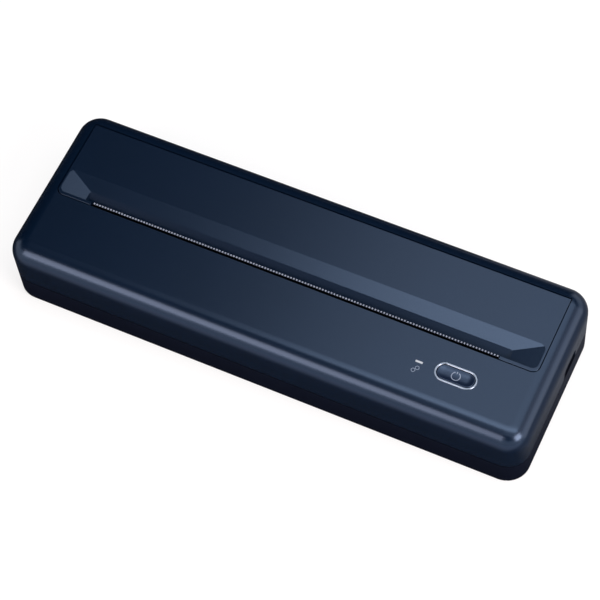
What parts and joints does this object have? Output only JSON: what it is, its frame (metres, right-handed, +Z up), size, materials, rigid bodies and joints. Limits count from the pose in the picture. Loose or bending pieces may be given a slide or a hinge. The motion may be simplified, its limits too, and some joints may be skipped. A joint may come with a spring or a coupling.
{
  "type": "portable thermal printer",
  "caption": "Flat rounded portable thermal printer for A4 sheets and rolls, with a hinged rear lid carrying the platen, a serrated tear bar, a stadium power button and an end charging socket.",
  "frame": {"origin": "centre of the casing's outline, on the surface that the rubber feet stand on", "axes": "+X along the long side towards the end with the button and the socket, +Y towards the hinge of the lid, +Z up"},
  "size_m": [0.27, 0.091, 0.0406],
  "materials": {
    "navy_abs": "moulded ABS, satin gloss",
    "black_abs": "moulded ABS, fine satin",
    "feet_rubber": "matt rubber",
    "zinc_screws": "zinc plated",
    "tear_steel": "stainless strip, ground teeth",
    "steel_parts": "ground steel",
    "frame_steel": "galvanised sheet",
    "button_plastic": "satin black",
    "ring_chrome": "satin bright",
    "light_clear": "clear acrylic",
    "lamp_white": "plain",
    "board_green": "solder mask",
    "chip_black": "moulded epoxy",
    "radio_tin": "tinned can",
    "battery_wrap": "shrink sleeve",
    "socket_steel": "stainless shell",
    "ribbon_film": "polyester film",
    "motor_can": "drawn steel",
    "tray_plastic": "moulded ABS",
    "acetal": "moulded acetal",
    "pinion_brass": "turned brass",
    "platen_rubber": "ground rubber",
    "head_ceramic": "glazed ceramic",
    "sink_aluminium": "extruded aluminium"
  },
  "bodies": {
    "casing": {"lower_shell": "black_abs", "upper_shell": "navy_abs", "rubber_feet": "feet_rubber", "case_screws": "zinc_screws", "tear_bar": "tear_steel", "tear_bar_screws": "zinc_screws", "button_ring": "ring_chrome", "power_switch": "chip_black", "light_pipe": "light_clear", "status_lamp": "lamp_white", "main_board": "board_green", "board_screws": "zinc_screws", "processor_chip": "chip_black", "radio_module": "radio_tin", "ribbon_socket": "chip_black", "battery_pack": "battery_wrap", "usb_socket": "socket_steel", "socket_board": "board_green", "print_frame": "frame_steel", "frame_screws": "zinc_screws", "head_springs": "steel_parts", "head_ribbon": "ribbon_film", "gear_posts": "steel_parts", "motor": "motor_can", "motor_screws": "zinc_screws", "paper_tray": "tray_plastic", "paper_sensor": "chip_black", "lid_switch": "chip_black"},
    "lid": {"lid": "navy_abs", "hinge_pins": "steel_parts", "platen_bushes": "acetal"},
    "platen": {"platen_roller": "platen_rubber", "platen_shaft": "steel_parts", "platen_gear": "acetal"},
    "idler": {"idler_gear": "acetal"},
    "reduction": {"reduction_gear": "acetal"},
    "rotor": {"motor_shaft": "steel_parts", "motor_pinion": "pinion_brass"},
    "head": {"heat_sink": "sink_aluminium", "print_head": "head_ceramic"},
    "button": {"power_button": "button_plastic", "switch_plunger": "acetal"}
  },
  "joints": [
    {"name": "lid_hinge", "type": "hinge", "parent": "casing", "child": "lid", "pos_m": [0, 0.0342, 0.038], "axis": [-1, 0, 0], "range_deg": [0, 95]},
    {"name": "platen_spin", "type": "hinge", "parent": "lid", "child": "platen", "pos_m": [0, 0.003, 0.028], "axis": [1, 0, 0], "continuous": true},
    {"name": "idler_spin", "type": "hinge", "parent": "casing", "child": "idler", "pos_m": [-0.118, 0.00724, 0.01476], "axis": [1, 0, 0], "continuous": true},
    {"name": "reduction_spin", "type": "hinge", "parent": "casing", "child": "reduction", "pos_m": [-0.116, -0.00484, 0.0142], "axis": [1, 0, 0], "continuous": true},
    {"name": "motor_spin", "type": "hinge", "parent": "casing", "child": "rotor", "pos_m": [-0.112, -0.01814, 0.014], "axis": [1, 0, 0], "continuous": true},
    {"name": "head_pivot", "type": "hinge", "parent": "casing", "child": "head", "pos_m": [0, -0.00033, 0.01118], "axis": [-1, 0, 0], "range_deg": [0, 0.6], "stiffness_Nm_per_rad": 4},
    {"name": "button_press", "type": "slide", "parent": "casing", "child": "button", "axis": [0, 0, -1], "range_m": [0, 0.0004], "stiffness_N_per_m": 1500}
  ],
  "couplings": [
    {"joint": "idler_spin", "follows": "platen_spin", "ratio": -0.91667},
    {"joint": "reduction_spin", "follows": "platen_spin", "ratio": 1.375},
    {"joint": "motor_spin", "follows": "platen_spin", "ratio": -3.6667}
  ]
}
